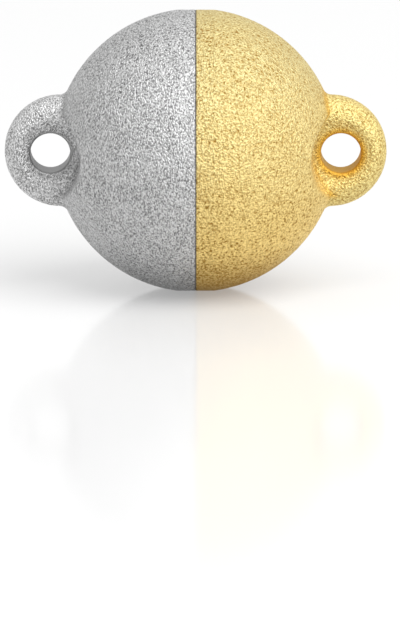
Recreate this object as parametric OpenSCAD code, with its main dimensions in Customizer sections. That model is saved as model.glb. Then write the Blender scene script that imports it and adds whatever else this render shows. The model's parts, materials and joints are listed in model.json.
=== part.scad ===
// A magnetic ball clasp for a necklace or bracelet, closed.
// Two half balls meet at a flat seam and are held by a disc magnet in each.
// Each half is one casting with a ring eye at its end for a jump ring.
// X runs from the silver end to the gold end, Z is up, and the ball rests
// on the plane Z = 0 with the seam over the origin.

/* [Ball] */
// Diameter of the closed clasp across its seam
seam_d = 12; // [10:0.5:16]
// How far the straight land beside the seam lies below the ball's round
land_drop = 0.05; // [0.02:0.005:0.06]
// Gap between the two halves at the seam
seam_gap = 0.02; // [0.01:0.01:0.1]
// Radius of the rounded rim of each half at the seam
rim_r = 0.06; // [0.03:0.01:0.3]

/* [Eyes] */
// Outer diameter of the ring eye
eye_d = 4.78; // [4.2:0.02:5.4]
// How far the eye stands out past the ball
eye_reach = 2.1; // [1.8:0.05:2.6]
// Thickness of the eye
eye_t = 1.9; // [1.8:0.05:2.2]
// Radius of the eye's rounded outer edge
eye_edge_r = 0.85; // [0.5:0.05:0.9]
// Diameter of the hole for the jump ring
hole_d = 1.7; // [1.2:0.05:2]
// Wall of the eye between the hole and its outer end
eye_wall = 1.1; // [1.1:0.05:1.3]
// Radius of the rounded edge at each mouth of the hole
mouth_r = 0.2; // [0.05:0.05:0.2]

/* [Hollow round the eye] */
// Radius of the round hollow cut across the ball's end
hollow_r = 2.4; // [2.2:0.1:3]
// How deep the hollow goes into the ball
hollow_depth = 1.05; // [0.6:0.05:1.2]

/* [Magnets] */
// Diameter of each disc magnet
magnet_d = 7; // [4:0.5:7.5]
// Thickness of each disc magnet
magnet_t = 3; // [1.5:0.1:3.2]
// How far the magnet's face lies below the seam face
magnet_set_back = 0.05; // [0.02:0.01:0.3]
// Glue gap round the magnet and behind it
glue_gap = 0.05; // [0.02:0.01:0.2]
// Chamfer on the magnet's edges
magnet_chamfer = 0.2; // [0.1:0.05:0.5]

/* [Hidden] */

$fn = 128;
over = 1;
silver_colour = [0.72, 0.71, 0.70];
gold_colour = [0.93, 0.80, 0.52];
magnet_colour = [0.62, 0.63, 0.65];

seam_r = seam_d / 2;
ball_r = seam_r + land_drop;
face_x = seam_gap / 2;
rim_x = face_x + rim_r;
land_end_x = sqrt(pow(ball_r, 2) - pow(seam_r, 2));
hole_r = hole_d / 2;
eye_end_x = ball_r + eye_reach;
eye_x = eye_end_x - eye_d / 2;
hole_x = eye_end_x - eye_wall - hole_r;
hollow_x = ball_r - hollow_depth + hollow_r;
pocket_r = magnet_d / 2 + glue_gap;
pocket_end_x = face_x + magnet_set_back + magnet_t + glue_gap;

// Turns a profile drawn as (distance from the X axis, place along it)
// into a solid round the X axis.
module turned_about_x() {
    rotate([0, 90, 0])
        rotate_extrude()
            children();
}

// Half the ball, with a short straight land and a rounded rim at the seam.
module half_ball() {
    turned_about_x() {
        intersection() {
            circle(r = ball_r);
            translate([0, land_end_x])
                square([ball_r, ball_r]);
        }
        translate([0, rim_x])
            square([seam_r, land_end_x - rim_x]);
        translate([0, face_x])
            square([seam_r - rim_r, rim_r]);
        translate([seam_r - rim_r, rim_x])
            circle(r = rim_r);
    }
}

module eye_disc() {
    translate([eye_x, 0, 0])
        rotate([90, 0, 0])
            rotate_extrude() {
                translate([0, -eye_t / 2])
                    square([eye_d / 2 - eye_edge_r, eye_t]);
                translate([0, eye_edge_r - eye_t / 2])
                    square([eye_d / 2, eye_t - 2 * eye_edge_r]);
                for (side = [-1, 1])
                    translate([eye_d / 2 - eye_edge_r, side * (eye_t / 2 - eye_edge_r)])
                        circle(r = eye_edge_r);
            }
}

// The hole's tool: straight in the middle, flared by a quarter round
// at each mouth.
module hole_tool() {
    translate([hole_x, 0, 0])
        rotate([90, 0, 0])
            rotate_extrude() {
                translate([0, -eye_t / 2 - over])
                    square([hole_r, eye_t + 2 * over]);
                for (side = [0, 1])
                    mirror([0, side])
                        translate([hole_r, eye_t / 2 - mouth_r])
                            difference() {
                                square([mouth_r, mouth_r + glue_gap]);
                                translate([mouth_r, 0])
                                    circle(r = mouth_r);
                            }
            }
}

// The round hollow that lets a jump ring swing in the eye.
module end_hollow() {
    translate([hollow_x, 0, 0])
        rotate([90, 0, 0])
            cylinder(r = hollow_r, h = seam_d + over, center = true);
}

module magnet_pocket() {
    translate([face_x - over, 0, 0])
        rotate([0, 90, 0])
            cylinder(r = pocket_r, h = pocket_end_x - face_x + over);
}

// One casting: half ball, hollow and eye, centred on the ball and
// pointing along +X.
module half_casting() {
    difference() {
        union() {
            difference() {
                half_ball();
                end_hollow();
            }
            eye_disc();
        }
        hole_tool();
        magnet_pocket();
    }
}

module disc_magnet() {
    magnet_r = magnet_d / 2;
    translate([face_x + magnet_set_back, 0, 0])
        turned_about_x()
            polygon([
                [0, 0],
                [magnet_r - magnet_chamfer, 0],
                [magnet_r, magnet_chamfer],
                [magnet_r, magnet_t - magnet_chamfer],
                [magnet_r - magnet_chamfer, magnet_t],
                [0, magnet_t]
            ]);
}

// Lifts a half so that the closed ball rests on Z = 0, and turns the
// silver side to -X.
module placed(on_silver_side) {
    translate([0, 0, seam_r])
        mirror([on_silver_side ? 1 : 0, 0, 0])
            children();
}

module silver_half() {
    color(silver_colour)
        placed(true)
            half_casting();
}

module silver_magnet() {
    color(magnet_colour)
        placed(true)
            disc_magnet();
}

module gold_half() {
    color(gold_colour)
        placed(false)
            half_casting();
}

module gold_magnet() {
    color(magnet_colour)
        placed(false)
            disc_magnet();
}

silver_half();
silver_magnet();
gold_half();
gold_magnet();
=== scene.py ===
import bpy
import json
import math
import numpy as np
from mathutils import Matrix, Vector


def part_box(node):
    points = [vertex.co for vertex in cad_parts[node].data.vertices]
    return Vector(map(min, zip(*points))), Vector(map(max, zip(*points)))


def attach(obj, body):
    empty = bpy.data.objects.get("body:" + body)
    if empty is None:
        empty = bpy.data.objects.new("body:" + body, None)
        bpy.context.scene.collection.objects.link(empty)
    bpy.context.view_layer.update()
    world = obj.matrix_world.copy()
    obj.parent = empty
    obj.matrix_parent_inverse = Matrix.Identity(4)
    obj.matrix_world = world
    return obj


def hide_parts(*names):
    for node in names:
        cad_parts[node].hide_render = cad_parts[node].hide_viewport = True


# A closed magnetic ball clasp: a silver half and a gold half, each one casting
# with a ring eye, frosted all over with fine grains. The two castings are
# meshed here from the same forms as the frame's solids, with the fillets, the
# dished eyes and the grains that those leave out. The magnets are the frame's
# own discs.

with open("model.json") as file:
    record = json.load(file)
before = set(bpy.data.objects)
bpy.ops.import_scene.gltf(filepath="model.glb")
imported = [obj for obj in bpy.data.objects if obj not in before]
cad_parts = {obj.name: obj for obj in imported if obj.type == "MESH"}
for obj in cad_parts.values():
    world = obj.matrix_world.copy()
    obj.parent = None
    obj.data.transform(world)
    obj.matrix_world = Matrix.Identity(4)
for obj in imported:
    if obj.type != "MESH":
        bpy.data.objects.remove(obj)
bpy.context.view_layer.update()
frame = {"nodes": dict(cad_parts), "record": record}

MM = 0.001
mounts = {m["name"]: m for m in frame["record"]["mounts"]}
half_low, half_high = (Vector(corner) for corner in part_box("gold_half"))
magnet_low, magnet_high = (Vector(corner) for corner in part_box("gold_magnet"))

# Sizes from the frame, seen from the ball's centre along the gold half. The seam
# faces lie closer together than the solids' do, so that no light shows between.
SEAM_R = (half_high.z - half_low.z) / 2
CENTRE = Vector((0, 0, half_low.z + SEAM_R))
SEAM_X = 0.2 * half_low.x
EYE_END_X = half_high.x
HOLE_R = mounts["gold_eye"]["dims"]["r_mm"] * MM
HOLE_X = mounts["gold_eye"]["pos_m"][0]
GLUE_GAP = 0.05 * MM
POCKET_R = (magnet_high.z - magnet_low.z) / 2 + GLUE_GAP
POCKET_END_X = magnet_high.x + GLUE_GAP

# The ball, the eye and the hollow, which is 0.1 mm deeper than the solid's
LAND_DROP = 0.05 * MM
EYE_R = 2.39 * MM
EYE_T = 1.9 * MM
EYE_EDGE_R = 0.85 * MM
HOLLOW_R = 2.4 * MM
HOLLOW_DEPTH = (1.05 + 0.1) * MM
MOUTH_R = 0.2 * MM
BALL_R = SEAM_R + LAND_DROP
EYE_X = EYE_END_X - EYE_R
HOLLOW_X = BALL_R - HOLLOW_DEPTH + HOLLOW_R

# Small rounds, and the dish on the eye's faces, that only the visual model has
FILLET_R = 0.22 * MM
FLOOR_R = 0.40 * MM
CREASE_R = 0.08 * MM
SEAM_EDGE_R = 0.03 * MM
POCKET_EDGE_R = 0.05 * MM
DISH_DEPTH = 0.12 * MM
DISH_W = 0.62 * MM

# Mesh step, and the grains raised in the mesh
STEP = 0.078 * MM
GRAIN_CELL = 0.11 * MM
GRAIN_HEIGHT = 0.006 * MM

# Width of the rim round the seam face, the line of painted shade along it that
# each half has, for the shade in the gap between the halves, and that line's colour
RIM_W = 0.06 * MM
SEAM_LINE = 0.025 * MM
PAINTED_SEAM_SHADE = (0.05, 0.04, 0.03)

# How far the painted shade reaches beside the corner of the eye and the hollow,
# and on the ball beside the eye, and the heights over the ball's centre between
# which those painted shades come and go
CORNER_SHADE = 0.35 * MM
CORNER_FOOT = (-2.0 * MM, -1.7 * MM)
CORNER_TOP = (-0.9 * MM, 0.3 * MM)
BESIDE_SHADE = 0.7 * MM
BESIDE_FOOT = (0.1 * MM, 1.0 * MM)

# Half the width of the blend from the ball's tone to the eye's lighter one, which is a painted highlight
EYE_BLEND = 0.1 * MM

# Sizes of the frosting's patterns, and the depth of its relief
PIT_CELL = 0.085 * MM
FINE_CELL = 0.05 * MM
DOT_CELL = 0.12 * MM
CLOUD_CELL = 1.6 * MM
COARSE_RELIEF = 0.045 * MM
FINE_RELIEF = 0.02 * MM

# Heights over the floor between which the frosting changes, the tone goes from
# low to high as painted light, and painted shade darkens the underside
PAINTED_LIGHT_HEIGHTS = (3 * MM, 10 * MM)
DOTS_BELOW = (5.5 * MM, 1.5 * MM)
DOTS_ABOVE = (8.8 * MM, 11.5 * MM)
PAINTED_UNDERSIDE_HEIGHTS = (2.4 * MM, 0.4 * MM)

# The photograph's frame, and where the ball is in it, in pixels
FRAME_W, FRAME_H = 400, 627
BALL_PX = (195.64, 150.15)
BALL_R_PX = 141.62

# The camera's angle over the floor, its distance in metres, and its sensor's
# width in millimetres, which spans the frame's height
ELEVATION = math.radians(10.5)
CAMERA_FAR = 0.6
SENSOR = 36.0


def meet(a, b, r):
    """Distance to what lies in both forms, with the edge between them rounded."""
    return np.minimum(-r, np.maximum(a, b)) + np.hypot(np.maximum(r + a, 0), np.maximum(r + b, 0))


def join(a, b, r):
    """Distance to what lies in either form, with the corner between them filleted."""
    return np.maximum(r, np.minimum(a, b)) - np.hypot(np.maximum(r - a, 0), np.maximum(r - b, 0))


def step_up(t, start, end):
    """0 before start, 1 after end, smooth between them."""
    t = np.clip((t - start) / (end - start), 0, 1)
    return t * t * (3 - 2 * t)


def half_ball(p):
    """Distance to the half ball with its hollow, negative inside."""
    x, y, z = p[..., 0], p[..., 1], p[..., 2]
    ball = np.maximum(np.sqrt(x * x + y * y + z * z) - BALL_R, np.hypot(y, z) - SEAM_R)
    half = meet(ball, SEAM_X - x, SEAM_EDGE_R)
    hollow = HOLLOW_R - np.hypot(x - HOLLOW_X, z)
    return meet(half, hollow, CREASE_R)


def ring_eye(p):
    """Distance to the eye without its hole, negative inside. Its faces are dished
    round the hole."""
    x, y, z = p[..., 0], p[..., 1], p[..., 2]
    out = np.hypot(x - EYE_X, z) - (EYE_R - EYE_EDGE_R)
    side = np.abs(y) - (EYE_T / 2 - EYE_EDGE_R)
    eye = np.hypot(np.maximum(out, 0), np.maximum(side, 0)) - EYE_EDGE_R
    eye = np.where((out < 0) & (side < 0), np.maximum(out, side) - EYE_EDGE_R, eye)
    dish = 1 - step_up(np.hypot(x - HOLE_X, z), HOLE_R + MOUTH_R, HOLE_R + DISH_W)
    return eye + DISH_DEPTH * dish


def casting(p):
    """Distance from points to the surface of one casting, negative inside it."""
    x, y, z = p[..., 0], p[..., 1], p[..., 2]
    round_r = FLOOR_R + (FILLET_R - FLOOR_R) * step_up(np.abs(z), 0.5 * EYE_R, 0.9 * EYE_R)
    solid = join(half_ball(p), ring_eye(p), round_r)
    hole = HOLE_R - np.hypot(x - HOLE_X, z)
    solid = meet(solid, hole, MOUTH_R)
    pocket = np.maximum(np.hypot(y, z) - POCKET_R, x - POCKET_END_X)
    return meet(solid, -pocket, POCKET_EDGE_R)


def slope(field, p, reach=0.005 * MM):
    """Direction in which a field grows fastest at each point."""
    axes = np.eye(3) * reach
    return np.stack([(field(p + e) - field(p - e)) / (2 * reach) for e in axes], axis=-1)


def surface_net(field, low, high, step):
    """Mesh of the surface where a field is zero: one point for each cell that the
    surface crosses, and one four-sided face round each grid edge that it crosses."""
    lines = [np.arange(a, b + step, step) for a, b in zip(low, high)]
    grid = np.stack(np.meshgrid(*lines, indexing="ij"), axis=-1)
    value = field(grid)
    cells = tuple(n - 1 for n in value.shape)
    total = np.zeros((np.prod(cells), 3))
    count = np.zeros(np.prod(cells))
    rings = []
    for one in np.eye(3, dtype=int):
        start = value[tuple(slice(0, n - o) for n, o in zip(value.shape, one))]
        end = value[tuple(slice(o, n) for n, o in zip(value.shape, one))]
        at = np.argwhere((start < 0) != (end < 0))
        a, b = start[tuple(at.T)], end[tuple(at.T)]
        place = grid[tuple(at.T)] + (a / (a - b))[:, None] * one * step
        side, up = np.roll(one, 1), np.roll(one, 2)
        corners = [at - side - up, at - up, at, at - side]
        ring = np.stack([np.ravel_multi_index(tuple(c.T), cells, mode="clip") for c in corners])
        for line in ring:
            np.add.at(total, line, place)
            np.add.at(count, line, 1)
        rings.append(np.where(a < 0, ring, ring[::-1]))
    faces = np.concatenate(rings, axis=1).T
    used = np.flatnonzero(count)
    points = total[used] / count[used, None]
    number = np.full(len(count), -1)
    number[used] = np.arange(len(used))
    return points, number[faces]


def value_noise(p, cell, seed):
    """Smooth random heights from -1 to 1, one random value for each cell corner."""
    q = p / cell
    low = np.floor(q.min(axis=0)).astype(int)
    size = np.ceil(q.max(axis=0)).astype(int) - low + 2
    table = np.random.default_rng(seed).uniform(-1, 1, size)
    whole = np.floor(q).astype(int)
    part = q - whole
    part = part * part * (3 - 2 * part)
    whole -= low
    height = np.zeros(len(p))
    for corner in np.ndindex(2, 2, 2):
        share = np.prod(np.where(corner, part, 1 - part), axis=1)
        height += share * table[tuple((whole + corner).T)]
    return height


def rim_share(p):
    """0 on the seam face, 1 on the rim round it."""
    return step_up(np.hypot(p[:, 1], p[:, 2]), SEAM_R - 3 * RIM_W, SEAM_R - RIM_W)


def frost_share(p):
    """Where a casting is frosted: 1 outside, 0 on the seam face and in the pocket
    and the hole, which are smooth."""
    x, y, z = p.T
    from_hole = np.hypot(x - HOLE_X, z) - HOLE_R
    outside = step_up(np.linalg.norm(p, axis=1), 1.2 * POCKET_R, 0.75 * BALL_R)
    off_face = np.maximum(step_up(x - SEAM_X, 0.3 * RIM_W, 1.5 * RIM_W), rim_share(p))
    return (
        step_up(from_hole, 0.05 * MOUTH_R, 0.6 * MOUTH_R)
        * off_face
        * np.where(x > 1.05 * POCKET_END_X, 1, outside)
    )


def eye_share(p):
    """1 on the eye, 0 on the ball."""
    return step_up(half_ball(p) - ring_eye(p), -EYE_BLEND, EYE_BLEND)


def painted_shade_share(p):
    """How far a point gets the painted shade that stands for the shade falling in the
    recesses: 1 on the eye's face in the lower corner with the hollow, less on the
    hole's rounded mouth and on the ball beside the upper half of the eye, and 0 on
    the open surface."""
    x, y, z = p.T
    from_hole = np.hypot(x - HOLE_X, z) - HOLE_R
    mouth = 1 - step_up(from_hole, 0.5 * MOUTH_R, 1.9 * MOUTH_R)
    from_hollow = HOLLOW_R - np.hypot(x - HOLLOW_X, z)
    on_face = 1 - step_up(np.abs(y), 0.5 * EYE_T, 0.5 * EYE_T + FILLET_R)
    corner = on_face * (1 - step_up(from_hollow, 0, CORNER_SHADE)) * (from_hollow > -FILLET_R)
    corner *= step_up(z, *CORNER_FOOT) * (1 - step_up(z, *CORNER_TOP))
    beside = (1 - eye_share(p)) * (1 - step_up(ring_eye(p), 0, BESIDE_SHADE))
    beside *= step_up(z, *BESIDE_FOOT) * step_up(x, POCKET_END_X, EYE_X - 0.5 * EYE_R)
    return np.maximum(np.maximum(0.8 * mouth, corner), 0.65 * beside)


def make_casting(name, side, seed):
    """Mesh of one half, frosted. side is 1 for the gold end and -1 for the silver."""
    margin = 2.5 * STEP
    low = (SEAM_X - margin, -BALL_R - margin, -BALL_R - margin)
    high = (EYE_END_X + margin, BALL_R + margin, BALL_R + margin)
    points, faces = surface_net(casting, low, high, STEP)
    for _ in range(4):
        away = slope(casting, points)
        points -= away * (casting(points) / np.maximum((away**2).sum(axis=1), 0.25))[:, None]
    away = slope(casting, points)
    away /= np.linalg.norm(away, axis=1)[:, None]
    shares = {
        "frost": frost_share(points),
        "painted_shade": painted_shade_share(points),
        "eye": eye_share(points),
        "rim": rim_share(points),
    }
    height = value_noise(points, GRAIN_CELL, seed)
    points += away * (shares["frost"] * height * GRAIN_HEIGHT)[:, None]
    points[:, 0] = np.maximum(points[:, 0], SEAM_X)
    if side < 0:
        points[:, 0] *= -1
        faces = faces[:, ::-1]
    points += np.array(CENTRE)
    mesh = bpy.data.meshes.new(name)
    mesh.from_pydata(points.tolist(), [], faces.tolist())
    mesh.shade_smooth()
    for label, values in shares.items():
        layer = mesh.attributes.new(label, "FLOAT", "POINT")
        layer.data.foreach_set("value", values.astype(np.float32))
    obj = bpy.data.objects.new(name, mesh)
    bpy.context.scene.collection.objects.link(obj)
    return obj


class Nodes:
    """Short calls for building a node material."""

    def __init__(self, name):
        self.material = bpy.data.materials.new(name)
        self.material.use_nodes = True
        self.tree = self.material.node_tree
        self.shader = self.tree.nodes["Principled BSDF"]

    def add(self, kind, **values):
        """A new node, with its settings and its sockets' numbers by name."""
        node = self.tree.nodes.new(kind)
        for key, value in values.items():
            if hasattr(node, key):
                setattr(node, key, value)
            else:
                node.inputs[key.replace("_", " ")].default_value = value
        return node

    def feed(self, socket, value):
        """Gives a socket a number, a colour or another node's output."""
        if isinstance(value, bpy.types.NodeSocket):
            self.tree.links.new(value, socket)
        elif isinstance(value, tuple):
            socket.default_value = (*value, 1)
        else:
            socket.default_value = value

    def finish(self, **values):
        """Feeds the shader's own sockets, and returns the material."""
        for key, value in values.items():
            self.feed(self.shader.inputs[key.replace("_", " ")], value)
        return self.material

    def place(self):
        return self.add("ShaderNodeTexCoord").outputs["Object"]

    def attribute(self, label):
        return self.add("ShaderNodeAttribute", attribute_name=label).outputs["Fac"]

    def noise(self, place, size, detail):
        node = self.add("ShaderNodeTexNoise", Scale=1 / size, Detail=detail)
        self.feed(node.inputs["Vector"], place)
        return node.outputs["Fac"]

    def along(self, place, axis):
        node = self.add("ShaderNodeSeparateXYZ")
        self.feed(node.inputs["Vector"], place)
        return node.outputs[axis]

    def mapped(self, place, **values):
        """A place that is scaled or moved."""
        node = self.add("ShaderNodeMapping", vector_type="POINT", **values)
        self.feed(node.inputs["Vector"], place)
        return node.outputs["Vector"]

    def ramp(self, fac, low, high, start=0.0, end=1.0):
        """start where fac is low, end where it is high, and even between them."""
        node = self.add("ShaderNodeMapRange", From_Min=low, From_Max=high, To_Min=start, To_Max=end)
        self.feed(node.inputs["Value"], fac)
        return node.outputs["Result"]

    def math(self, operation, a, b):
        node = self.add("ShaderNodeMath", operation=operation)
        for socket, value in zip(node.inputs, (a, b)):
            self.feed(socket, value)
        return node.outputs["Value"]

    def plus(self, a, b):
        return self.math("ADD", a, b)

    def times(self, a, b):
        return self.math("MULTIPLY", a, b)

    def larger(self, a, b):
        return self.math("MAXIMUM", a, b)

    def rest_of(self, a):
        """What is left of 1 without a."""
        return self.math("SUBTRACT", 1.0, a)

    def mix(self, fac, a, b):
        node = self.add("ShaderNodeMix", data_type="RGBA")
        for key, value in (("Factor", fac), ("A", a), ("B", b)):
            self.feed(node.inputs[key], value)
        return node.outputs["Result"]

    def bump(self, height, strength, distance, under=None):
        node = self.add("ShaderNodeBump", Distance=distance)
        self.feed(node.inputs["Height"], height)
        self.feed(node.inputs["Strength"], strength)
        if under:
            self.feed(node.inputs["Normal"], under)
        return node.outputs["Normal"]


def pit_darkness(n, grain_place, grain, cloud, z, pitted, dots, crown):
    """How dark the grain's pits are. The deepest are dots, which are darker low on
    the ball and near its top."""
    pits = n.times(n.ramp(grain, 0.80, 0.10, 0, pitted), n.ramp(cloud, 0.35, 0.65, 0.7, 0.9))
    deep = n.ramp(n.noise(grain_place, DOT_CELL, detail=0.0), 0.38, 0.30, 0, dots)
    deep = n.times(deep, n.ramp(z, *DOTS_BELOW, 1.0, 2.2))
    deep = n.times(deep, n.ramp(z, *DOTS_ABOVE, 1.0, crown))
    return n.plus(pits, deep)


def frosted(name, low, high, eye, painted_shade_colour, pit_and_shade_colour, pitted, dots, crown, painted_bore_shade, painted_underside_shade, dullness, stretch):
    """Plated metal with a dense fine grain. Its colours are, in order, its colour low
    and high on the ball, whose change with height is painted light, its lighter
    colour on the eye, a painted highlight, the painted shade in the recesses, and
    the colour of the grain's pits, towards which the other painted shade darkens
    too. pitted, dots and the two numbers after crown say how dark the pits, the
    deepest pits, the painted shade on the hole's wall, and less on the seam face
    and in the pocket, and the painted shade on the underside are, crown how many
    times darker the deepest pits are at the top, dullness how rough the metal is,
    and stretch shapes the grains. It is smooth where frost is 0, and a dark dull
    line of painted shade, for the gap between the halves, follows the seam."""
    n = Nodes(name)
    place = n.place()
    from_seam = n.math("ABSOLUTE", n.along(place, "X"), 0)
    z = n.along(place, "Z")
    frost, painted_shade, on_eye, rim = (n.attribute(label) for label in ("frost", "painted_shade", "eye", "rim"))

    grain_place = n.mapped(place, Scale=stretch)
    grain = n.ramp(n.noise(grain_place, PIT_CELL, detail=1.0), 0.28, 0.72)
    fine = n.noise(grain_place, FINE_CELL, detail=1.0)
    cloud = n.noise(place, CLOUD_CELL, detail=3.0)
    pits = n.times(pit_darkness(n, grain_place, grain, cloud, z, pitted, dots, crown), frost)

    # Painted shade where the metal is smooth: full on the hole's wall, less on the seam face and in the
    # pocket
    smooth = n.ramp(from_seam, POCKET_END_X, 1.3 * POCKET_END_X, 0.4 * painted_bore_shade, painted_bore_shade)
    dark = n.larger(pits, n.times(n.rest_of(frost), smooth))
    # Painted shade, darker towards the bottom of the ball
    dark = n.plus(dark, n.ramp(z, *PAINTED_UNDERSIDE_HEIGHTS, 0, painted_underside_shade))
    # The tone's change from low to high on the ball is painted light, and the eye's lighter tone a
    # painted highlight
    clear = n.mix(on_eye, n.mix(n.ramp(z, *PAINTED_LIGHT_HEIGHTS), low, high), eye)
    # Painted shade in the recesses, and the pits' colour where the pits and the other painted shade are
    # dark
    metal = n.mix(dark, n.mix(painted_shade, clear, painted_shade_colour), pit_and_shade_colour)
    rough = n.ramp(cloud, 0.3, 0.7, dullness - 0.03, dullness + 0.03)
    rough = n.plus(rough, n.times(pits, 0.15))

    # A line of painted shade along the seam, dark and dull, for the shade in the gap between the halves
    line = n.times(n.ramp(from_seam, SEAM_LINE, 1.6 * SEAM_LINE, 1, 0), rim)
    line = n.times(line, n.ramp(grain, 0.3, 0.6, 1.0, 0.65))

    coarse = n.bump(grain, frost, COARSE_RELIEF)
    shallow = n.times(n.plus(frost, 0.08), 0.5)
    return n.finish(
        Base_Color=n.mix(line, metal, PAINTED_SEAM_SHADE),
        Roughness=n.larger(rough, line),
        Metallic=n.rest_of(line),
        Specular_IOR_Level=0.1,
        Normal=n.bump(fine, shallow, FINE_RELIEF, under=coarse),
    )


def nickel(name):
    """Nickel plate on a disc magnet, with the fine rings of its grinding."""
    n = Nodes(name)
    place = n.place()
    rings = n.add(
        "ShaderNodeTexWave", wave_type="RINGS", rings_direction="X", Scale=1 / (0.5 * MM), Distortion=0.6
    )
    n.feed(rings.inputs["Vector"], n.mapped(place, Location=-CENTRE))
    specks = n.noise(place, 0.3 * MM, detail=4.0)
    return n.finish(
        Base_Color=n.mix(specks, (0.50, 0.50, 0.52), (0.66, 0.65, 0.64)),
        Roughness=n.ramp(specks, 0.3, 0.7, 0.22, 0.4),
        Metallic=1.0,
        Normal=n.bump(rings.outputs["Fac"], 0.15, 0.01 * MM),
    )


def castings():
    """The two frosted halves, each in place of its plain solid."""
    # In both looks the tones low and high, the eye's tone, the recessed tone, and the darkness of the
    # hole's wall and of the underside are painted light and painted shade
    silver = frosted(
        "frosted_silver",
        low=(0.70, 0.70, 0.70),
        high=(0.75, 0.75, 0.75),
        eye=(0.83, 0.83, 0.83),
        painted_shade_colour=(0.52, 0.52, 0.52),
        pit_and_shade_colour=(0.19, 0.19, 0.19),
        pitted=0.95,
        dots=0.2,
        crown=4.0,
        painted_bore_shade=0.45,
        painted_underside_shade=0.36,
        dullness=0.50,
        stretch=(1.3, 1.0, 0.9),
    )
    gold = frosted(
        "frosted_gold",
        low=(0.93, 0.735, 0.305),
        high=(0.79, 0.695, 0.36),
        eye=(0.88, 0.75, 0.335),
        painted_shade_colour=(0.78, 0.44, 0.02),
        pit_and_shade_colour=(0.40, 0.24, 0.05),
        pitted=0.80,
        dots=0.35,
        crown=1.7,
        painted_bore_shade=0.22,
        painted_underside_shade=0.70,
        dullness=0.58,
        stretch=(1.0, 1.0, 1.0),
    )
    for name, side, seed, look, slot in (
        ("silver_half", -1, 11, silver, "silver_plate"),
        ("gold_half", 1, 23, gold, "gold_plate"),
    ):
        obj = make_casting(name + "_frosted", side, seed)
        obj.data.materials.append(look)
        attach(obj, name)
        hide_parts(name)


def magnets():
    """Nickel plate on the frame's two discs."""
    look = nickel("nickel_plate")
    for name in ("silver_magnet", "gold_magnet"):
        for holder in frame["nodes"][name].material_slots:
            holder.material = look


def pale_floor():
    """Plain white card with a faint gloss, large enough to fill every view."""
    reach = 3.0
    mesh = bpy.data.meshes.new("floor")
    corners = [(-reach, -reach, 0), (reach, -reach, 0), (reach, reach, 0), (-reach, reach, 0)]
    mesh.from_pydata(corners, [], [(0, 1, 2, 3)])
    floor = bpy.data.objects.new("floor", mesh)
    bpy.context.scene.collection.objects.link(floor)
    card = Nodes("white_card").finish(
        Base_Color=(0.50, 0.50, 0.50),
        Emission_Color=(1.0, 1.0, 1.0),
        Emission_Strength=0.30,
        Roughness=0.12,
        Specular_IOR_Level=0.35,
    )
    mesh.materials.append(card)


def soft_light(name, place, size, power):
    """A square soft box at a place seen from the ball, which it faces."""
    data = bpy.data.lights.new(name, "AREA")
    data.shape = "SQUARE"
    data.size = size
    data.energy = power
    lamp = bpy.data.objects.new(name, data)
    lamp.location = CENTRE + Vector(place)
    lamp.rotation_mode = "QUATERNION"
    lamp.rotation_quaternion = Vector(place).to_track_quat("Z", "Y")
    bpy.context.scene.collection.objects.link(lamp)


def lights():
    """A large soft box above and in front, fills from behind and from the right,
    and pale walls."""
    soft_light("key", (0.17, -0.21, 0.39), size=0.48, power=2.5)
    soft_light("top", (-0.04, 0.24, 0.38), size=0.50, power=0.1)
    soft_light("right", (0.42, -0.14, 0.16), size=0.36, power=0.45)
    world = bpy.data.worlds.new("walls")
    world.use_nodes = True
    background = world.node_tree.nodes["Background"]
    background.inputs["Color"].default_value = (1.0, 1.0, 1.0, 1)
    background.inputs["Strength"].default_value = 0.70
    bpy.context.scene.world = world
    bpy.context.scene.view_settings.view_transform = "Standard"


def camera():
    """A long lens at the photograph's angle. It looks a little below the ball, as
    the photograph has the clasp in its upper half."""
    data = bpy.data.cameras.new("camera")
    cam = bpy.data.objects.new("camera", data)
    back = Vector((0, -math.cos(ELEVATION), math.sin(ELEVATION)))
    up = Vector((0, math.sin(ELEVATION), math.cos(ELEVATION)))
    per_px = BALL_R / BALL_R_PX
    data.sensor_width = SENSOR
    data.lens = SENSOR * CAMERA_FAR / (FRAME_H * per_px)
    data.clip_start = 0.01
    data.clip_end = 20
    cam.location = CENTRE + back * CAMERA_FAR
    right_px = FRAME_W / 2 - BALL_PX[0]
    down_px = FRAME_H / 2 - BALL_PX[1]
    aim = CENTRE + Vector((1, 0, 0)) * right_px * per_px - up * down_px * per_px
    cam.rotation_mode = "QUATERNION"
    cam.rotation_quaternion = (cam.location - aim).to_track_quat("Z", "Y")
    bpy.context.scene.collection.objects.link(cam)
    bpy.context.scene.camera = cam


castings()
magnets()
pale_floor()
lights()
camera()
